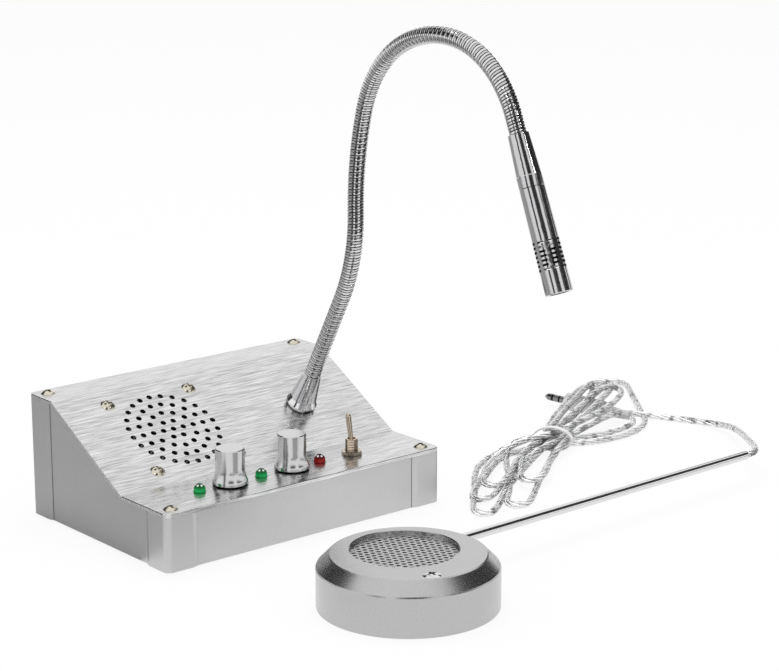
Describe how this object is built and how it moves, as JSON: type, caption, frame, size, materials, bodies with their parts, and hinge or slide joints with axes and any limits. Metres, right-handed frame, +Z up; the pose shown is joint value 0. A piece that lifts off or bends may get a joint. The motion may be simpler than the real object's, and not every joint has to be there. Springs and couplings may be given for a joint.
{
  "type": "teller window intercom",
  "caption": "Sloped metal desk unit with speaker, volume knobs, lamps, switch and gooseneck microphone, and a round metal outer unit on a long stem with a coiled clear cord.",
  "frame": {"origin": "centre of the desk unit's underside; the rubber feet stand 1 mm lower, on the counter", "axes": "+X to the right as the clerk sees the controls, -Y towards the clerk and the knob row, +Z up"},
  "size_m": [0.3381, 0.2288, 0.2167],
  "materials": {
    "satin_aluminium": "satin anodised",
    "brushed_plate": "brushed along X",
    "bright_steel": "polished",
    "mic_satin": "satin plated",
    "zinc_yellow": "yellow zinc plate",
    "zinc_steel": "zinc plate",
    "ferrite": "dull",
    "cone_black": "pressed paper",
    "capsule_black": "felt face",
    "black_plastic": "moulded",
    "green_lens": "tinted epoxy",
    "red_lens": "tinted epoxy",
    "board_green": "lacquered",
    "black_rubber": "matte",
    "clear_pvc": "clear jacket over silver strands",
    "plug_pvc": "translucent",
    "tie_white": "coated wire"
  },
  "bodies": {
    "desk_unit": {"top_plate": "brushed_plate", "base_plate": "zinc_steel", "front_panel": "satin_aluminium", "rear_panel": "satin_aluminium", "side_panels": "satin_aluminium", "front_posts": "satin_aluminium", "rear_posts": "satin_aluminium", "top_plate_screws": "zinc_yellow", "base_plate_screws": "zinc_steel", "rubber_feet": "black_rubber", "speaker_frame": "zinc_steel", "speaker_cone": "cone_black", "speaker_magnet": "ferrite", "speaker_screws": "zinc_yellow", "speaker_nuts": "zinc_steel", "green_lamps": "green_lens", "red_lamp": "red_lens", "volume_pots": "zinc_steel", "pot_nuts": "zinc_steel", "toggle_switch": "bright_steel", "toggle_nut": "bright_steel", "gooseneck_collar": "bright_steel", "collar_nut": "zinc_steel", "neck_root": "bright_steel", "circuit_board": "board_green", "board_standoffs": "zinc_steel", "board_screws": "zinc_steel", "board_components": "black_plastic", "power_socket": "black_plastic", "audio_socket": "black_plastic", "socket_nuts": "zinc_steel"},
    "left_volume": {"left_pot_shaft": "bright_steel", "left_knob": "bright_steel"},
    "right_volume": {"right_pot_shaft": "bright_steel", "right_knob": "bright_steel"},
    "toggle": {"toggle_lever": "bright_steel"},
    "neck_1": {"neck_link_1": "bright_steel"},
    "neck_2": {"neck_link_2": "bright_steel"},
    "neck_3": {"neck_link_3": "bright_steel"},
    "neck_4": {"neck_link_4": "bright_steel"},
    "neck_5": {"neck_link_5": "bright_steel", "mic_sleeve": "mic_satin", "mic_tube": "mic_satin", "mic_capsule": "capsule_black", "mic_grille": "mic_satin"},
    "outer_unit": {"puck_shell": "satin_aluminium", "puck_cover": "zinc_steel", "puck_pad": "black_rubber", "cover_screws": "zinc_steel", "puck_face_screw": "bright_steel", "puck_grille": "zinc_steel", "puck_speaker": "ferrite", "puck_mic": "capsule_black", "stem": "bright_steel", "stem_clip": "zinc_steel", "cord_tube": "clear_pvc", "cord_hank": "clear_pvc", "cord_tie": "tie_white", "plug_pin": "bright_steel", "plug_body": "plug_pvc"}
  },
  "joints": [
    {"name": "left_knob_turn", "type": "hinge", "parent": "desk_unit", "child": "left_volume", "pos_m": [-0.0285, -0.03445, 0.03], "axis": [0, 0, 1], "range_deg": [-150, 150]},
    {"name": "right_knob_turn", "type": "hinge", "parent": "desk_unit", "child": "right_volume", "pos_m": [0.0039, -0.03445, 0.03], "axis": [0, 0, 1], "range_deg": [-150, 150]},
    {"name": "toggle_throw", "type": "hinge", "parent": "desk_unit", "child": "toggle", "pos_m": [0.0364, -0.03445, 0.0291], "axis": [1, 0, 0], "range_deg": [0, 20]},
    {"name": "neck_tilt_1", "type": "hinge", "parent": "desk_unit", "child": "neck_1", "pos_m": [0.0388, -0.0063, 0.05795], "axis": [1, 0, 0], "range_deg": [-25, 25]},
    {"name": "neck_swing_2", "type": "hinge", "parent": "neck_1", "child": "neck_2", "pos_m": [0.0388, -0.02515, 0.09187], "axis": [0, 0.8741, 0.4857], "range_deg": [-25, 25]},
    {"name": "neck_tilt_3", "type": "hinge", "parent": "neck_2", "child": "neck_3", "pos_m": [0.0388, -0.0353, 0.13164], "axis": [1, 0, 0], "range_deg": [-25, 25]},
    {"name": "neck_swing_4", "type": "hinge", "parent": "neck_3", "child": "neck_4", "pos_m": [0.0388, -0.0414, 0.17607], "axis": [0, 0.961, 0.2766], "range_deg": [-25, 25]},
    {"name": "neck_tilt_5", "type": "hinge", "parent": "neck_4", "child": "neck_5", "pos_m": [0.0388, -0.07109, 0.2084], "axis": [1, 0, 0], "range_deg": [-25, 25]},
    {"name": "outer_unit_slide", "type": "slide", "parent": "desk_unit", "child": "outer_unit", "axis": [0, -1, 0], "range_m": [0, 0.3]}
  ]
}
